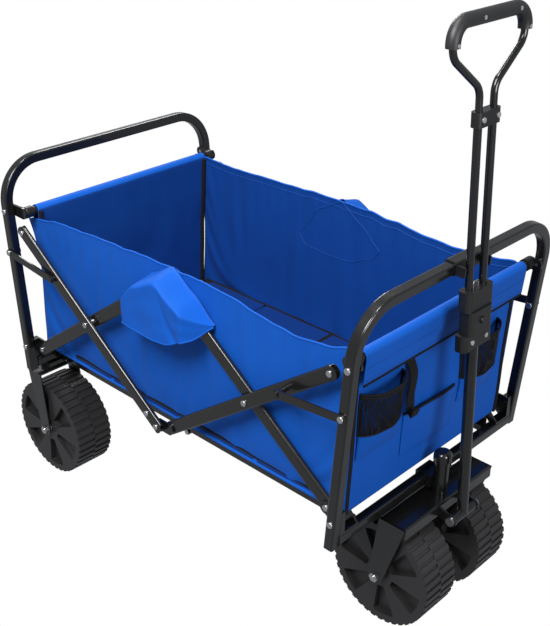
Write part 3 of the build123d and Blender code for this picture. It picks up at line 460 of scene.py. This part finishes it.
def end_wall(word, rod_x, low_x, sign, body, node):
    r = 0.0098

    def place(u, v):
        y = lerp(-end_half, end_half, u)
        broad = noise.noise(Vector((y * 7.0, v * 3.0, sign * 4.0)))
        wave = broad + 0.4 * noise.noise(Vector((y * 21.0, v * 5.0, sign)))
        if v < hem_share:
            s = v / hem_share
            x = lerp(low_x, rod_x - sign * r, s) + sign * 0.004 * math.sin(math.pi * s) * (0.5 + wave)
            return x, y, lerp(side_low, rod_z, s)
        s = (v - hem_share) / (1 - hem_share)
        if s < 0.45:
            a = math.pi * s / 0.45
            return rod_x - sign * r * math.cos(a), y, rod_z + r * math.sin(a)
        s = (s - 0.45) / 0.55
        ripple = 0.0012 * (wave + 0.3) * s
        return rod_x + sign * (r + ripple - 0.0045 * s), y, rod_z - 0.048 * s

    wall = grid("end_wall_" + word, 90, 90, place, blue, cloth_thick)
    face_out(wall, (sign, 0, 0))
    # The inner faces get the darker painted shade; faces over the rod and down its outside keep plain blue
    # on their open side.
    thicken(wall, inner_face_mat=shaded_inner_mat)
    wall.data.materials.append(blue)
    for f in wall.data.polygons:
        over = f.center.z > rod_z + 0.003
        outside = f.center.z > rod_z - 0.052 and sign * (f.center.x - rod_x) > 0.001
        f.material_index = 1 if over or outside else 0
    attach(wall, body)
    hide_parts(node)
    for k, v in enumerate((0.985, 0.93)):
        lift = Vector((sign * 0.0008, 0, 0))
        stitches = [Vector(place(0.01 + 0.98 * i / 60, v)) + lift for i in range(61)]
        row = tube("end_seam_%s_%d" % (word, k), stitches, seam_r, thread)
        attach(row, body)
    line = tube("hem_piping_" + word, [Vector(place(0.006 + 0.988 * i / 60, 1.0)) + Vector((0, 0, -0.001))
                for i in range(61)], 0.0024, binding)
    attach(line, body)
    for side in (-1, 1):
        corner = [Vector(place(0.5 + 0.5 * side, hem_share * i / 20)) for i in range(21)]
        edge = tube("corner_binding_%s_%d" % (word, side > 0), [
            Vector((p.x - sign * 0.001, side * (end_half - 0.005), p.z)) for p in corner], 0.0048, binding)
        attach(edge, body)
    return place


front_place = end_wall("front", rod_front_x, low_front, 1, "front_frame", "front_panel")
end_wall("rear", rod_rear_x, low_rear, -1, "rear_frame", "rear_panel")


# ------------------------------------------------------------------ front pockets and strap
def front_x(y, z):
    u = (y + end_half) / (2 * end_half)
    return front_place(u, hem_share * (z - side_low) / (rod_z - side_low))[0]


def bulge(y0, y1, z0, z1, deep_low, deep_high):
    def place(u, v):
        y = lerp(y0, y1, u)
        z = lerp(z0, z1, v)
        swell = max(0.0, math.sin(math.pi * u)) ** 0.6 * lerp(deep_low, deep_high, v ** 0.7)
        soft = 1 + 0.16 * noise.noise(Vector((y * 30.0, z * 26.0, 3.0)))
        return front_x(y, z) + 0.0016 + swell * soft, y, z
    return place


pocket_low, pocket_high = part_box("front_pockets")
cup_deep = pocket_high.x - front_x(0, pocket_high.z) - 0.004
cups = (("right", pocket_low.y + 0.004, pocket_low.y + 0.108, pocket_high.z - 0.004),
        ("left", pocket_high.y - 0.108, pocket_high.y - 0.004, pocket_high.z - 0.014))
for word, y0, y1, top_z in cups:
    net_low = top_z - 0.074
    rim = bulge(y0, y1, net_low, top_z, cup_deep * 0.75, cup_deep)
    foot = bulge(y0, y1, net_low - 0.048, net_low, 0.001, cup_deep * 0.75)
    upper = grid("cup_net_" + word, 30, 22, rim, netting, 0.0006)
    lower = grid("cup_cloth_" + word, 30, 18, foot, blue, 0.001)
    for o, tall in ((upper, 0.074), (lower, 0.056)):
        face_out(o, (1, 0, 0))
        thicken(o)
        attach(o, "front_frame")
        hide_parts("front_pockets")
    for k, (v, radius) in enumerate(((1.0, 0.0022), (0.94, 0.0022), (0.0, 0.0013))):
        band = tube("cup_band_%s_%d" % (word, k), [rim(i / 30, v) for i in range(31)], radius, binding)
        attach(band, "front_frame")
    for k, u in enumerate((0.0, 1.0)):
        band = tube("cup_side_%s_%d" % (word, k), [rim(u, i / 12) for i in range(13)], 0.0016, binding)
        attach(band, "front_frame")

slit_z = pocket_low.z + 0.088
slit_y = (pocket_low.y + 0.122, pocket_low.y + 0.256)
flat_pocket = bulge(slit_y[0], slit_y[1], pocket_low.z + 0.004, slit_z, 0.001, 0.007)
centre = grid("centre_pocket", 36, 22, flat_pocket, blue, 0.001)
face_out(centre, (1, 0, 0))
thicken(centre)
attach(centre, "front_frame")
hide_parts("front_pockets")
slit = tube("centre_pocket_edge", [flat_pocket(i / 30, 1.0) for i in range(31)], 0.0022, binding)
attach(slit, "front_frame")

strap_y = slit_y[0] - 0.004
strap_top = rod_z - 0.050
strap_keys = [  # along the strap, out from the wall, down from its top
    (0.0, 0.004, 0.0),
    (0.3, 0.012, -0.036),
    (0.6, 0.010, -0.074),
    (0.75, 0.013, -0.098),
    (0.86, 0.024, -0.108),
    (1.0, 0.030, -0.090),
]


def strap_point(u, v):
    out = curve_at([(k[0], k[1]) for k in strap_keys], v)
    drop = straight([(k[0], k[2]) for k in strap_keys], v)
    y = strap_y + 0.018 * (u - 0.5) + 0.010 * math.sin(math.pi * v) - 0.004 * v
    z = strap_top + drop
    return front_x(y, z) + out, y, z


strap = grid("strap_loop", 4, 40, strap_point, binding, 0.0016)
thicken(strap)
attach(strap, "front_frame")

# ------------------------------------------------------------------ floor mats
def padded_panel(name, x0, x1, y0, y1, z0, z1, body):
    bm = bmesh.new()
    bmesh.ops.create_cube(bm, size=1.0)
    for v in bm.verts:
        v.co = Vector((lerp(x0, x1, v.co.x + 0.5), lerp(y0, y1, v.co.y + 0.5), lerp(z0, z1, v.co.z + 0.5)))
    bmesh.ops.bevel(bm, geom=bm.edges[:], offset=0.0045, segments=3, affect="EDGES",
                    profile=0.5, material=-1)
    long_edges = [e for e in bm.edges if e.calc_length() > 0.05]
    bmesh.ops.subdivide_edges(bm, edges=long_edges, cuts=24, use_grid_fill=True)
    for v in bm.verts:
        sx = min(v.co.x - x0, x1 - v.co.x)
        sy = min(v.co.y - y0, y1 - v.co.y)
        if v.co.z > z1 - 0.002 and min(sx, sy) > 0.004:
            puff = min(1.0, min(sx, sy) / 0.03)
            v.co.z += 0.0012 * puff * (0.6 + noise.noise(v.co * 16.0)) - 0.001 * (1 - puff)
    pad = from_bmesh(bm, name, mat_blue)
    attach(pad, body)
    return pad


mat_y = mat_front[1].y
for word, sign, lo, hi in (("front", 1, mat_front[0], mat_front[1]), ("rear", -1, mat_rear[0], mat_rear[1])):
    near = mid_x + sign * 0.001
    far = hi.x if sign > 0 else lo.x
    half = (near + far) / 2
    narrow = mat_y - 0.029
    body = "%s_floor" % word
    step = far - sign * 0.022
    a = padded_panel("mat_%s_inner" % word, *sorted((near, half - sign * 0.002)),
                     -mat_y, mat_y, lo.z, hi.z, body)
    b = padded_panel("mat_%s_outer" % word, *sorted((half + sign * 0.002, step)),
                     -mat_y, mat_y, lo.z, hi.z, body)
    c = padded_panel("mat_%s_end" % word, *sorted((step, far)), -narrow, narrow, lo.z, hi.z, body)
    for pad in (a, b, c):
        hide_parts("floor_mat_" + word)
    z = hi.z - 0.001
    edge_y = mat_y - 0.003
    edge = [(near, -edge_y), (step, -edge_y), (step, -narrow), (far, -narrow),
            (far, narrow), (step, narrow), (step, edge_y), (near, edge_y)]
    piping = tube("mat_piping_" + word, [(x, y, z) for x, y in edge], 0.0036, binding, closed=True)
    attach(piping, body)
    for side in (-1, 1):
        y0, y1 = sorted((side * (narrow - 0.002), side * (wall_y - 0.001)))
        x0, x1 = sorted((far - sign * 0.026, far))
        patch = grid("mat_corner_%s_%d" % (word, side > 0), 8, 8,
                     lambda u, v: (lerp(x0, x1, u), lerp(y0, y1, v), hi.z - 0.0025), binding, 0.0015)
        thicken(patch)
        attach(patch, body)

# ------------------------------------------------------------------ camera and light
cam_data = bpy.data.cameras.new("camera")
cam = bpy.data.objects.new("camera", cam_data)
scene.collection.objects.link(cam)
scene.camera = cam
az, el, roll = math.radians(42.69), math.radians(27.95), math.radians(0.86)
back = Vector((math.sin(az) * math.cos(el), -math.cos(az) * math.cos(el), math.sin(el)))
right = Vector((math.cos(az), math.sin(az), 0))
up = back.cross(right)
r2 = math.cos(roll) * right + math.sin(roll) * up
u2 = back.cross(r2)
rot = Matrix((r2, u2, back)).transposed()
cam.matrix_world = Matrix.Translation((1.2075, -1.2557, 1.3208)) @ rot.to_4x4()
cam_data.lens = 60.70
cam_data.sensor_width = 36.0
cam_data.shift_x = -9.55 / 626
cam_data.shift_y = 10.16 / 626
cam_data.clip_start = 0.05

world = bpy.data.worlds.new("studio")
scene.world = world
world.use_nodes = True
wt = world.node_tree
bg = wt.nodes["Background"]
seen = wt.nodes.new("ShaderNodeBackground")
seen.inputs["Color"].default_value = (1, 1, 1, 1)
seen.inputs["Strength"].default_value = 1.0
bg.inputs["Color"].default_value = (0.92, 0.95, 1.0, 1)
bg.inputs["Strength"].default_value = 0.34
path = wt.nodes.new("ShaderNodeLightPath")
mix = wt.nodes.new("ShaderNodeMixShader")
wt.links.new(path.outputs["Is Camera Ray"], mix.inputs[0])
wt.links.new(bg.outputs[0], mix.inputs[1])
wt.links.new(seen.outputs[0], mix.inputs[2])
wt.links.new(mix.outputs[0], wt.nodes["World Output"].inputs["Surface"])
scene.view_settings.view_transform = "Standard"


def area(name, place, target, size, power, colour=(1, 1, 1)):
    data = bpy.data.lights.new(name, "AREA")
    data.size = size
    data.energy = power
    data.color = colour
    o = bpy.data.objects.new(name, data)
    scene.collection.objects.link(o)
    o.location = place
    o.rotation_euler = (Vector(target) - Vector(place)).to_track_quat("-Z", "Y").to_euler()
    return o


area("key", (0.4, -1.6, 2.4), (0, 0, 0.4), 1.0, 74)
area("front", (2.4, -0.4, 1.2), (0.2, 0, 0.4), 0.9, 27)
area("top", (0.0, -0.3, 2.8), (0, 0, 0.4), 0.35, 20)
area("rim", (-1.8, 1.4, 2.0), (0, 0, 0.4), 1.1, 36)
